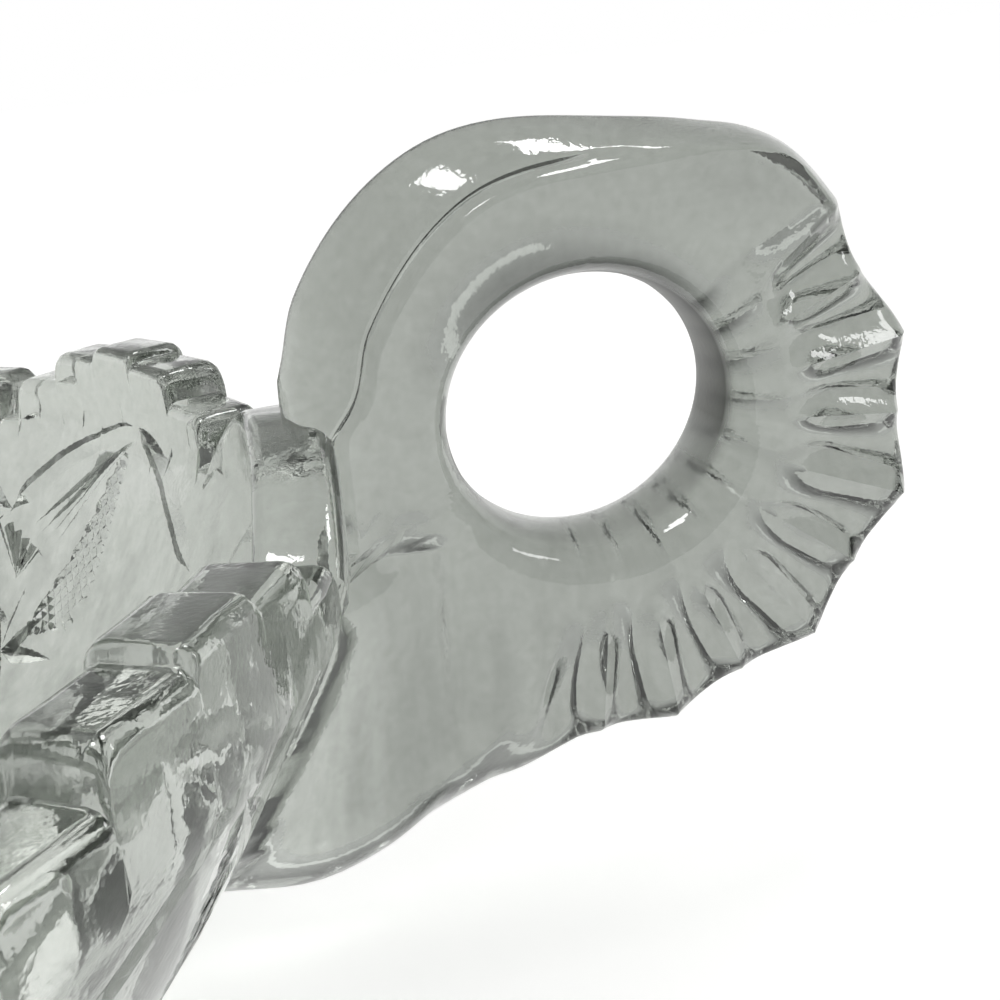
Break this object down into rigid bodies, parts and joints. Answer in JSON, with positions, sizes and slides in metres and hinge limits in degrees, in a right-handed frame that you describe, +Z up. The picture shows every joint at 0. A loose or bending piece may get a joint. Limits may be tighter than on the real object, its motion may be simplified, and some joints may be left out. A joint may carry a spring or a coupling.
{
  "type": "nappy dish",
  "caption": "Shallow round pressed-glass nappy dish with a scalloped, toothed rim, mitre-cut wall, star base and one fluted ring handle.",
  "frame": {"origin": "centre of the flat base, on the table", "axes": "+Z up along the bowl's axis, +X out through the handle"},
  "size_m": [0.1824, 0.139, 0.0584],
  "materials": {
    "glass": "pressed and fire-polished, clear with a faint grey cast"
  },
  "bodies": {
    "root": {"bowl": "glass", "handle": "glass"}
  },
  "joints": []
}
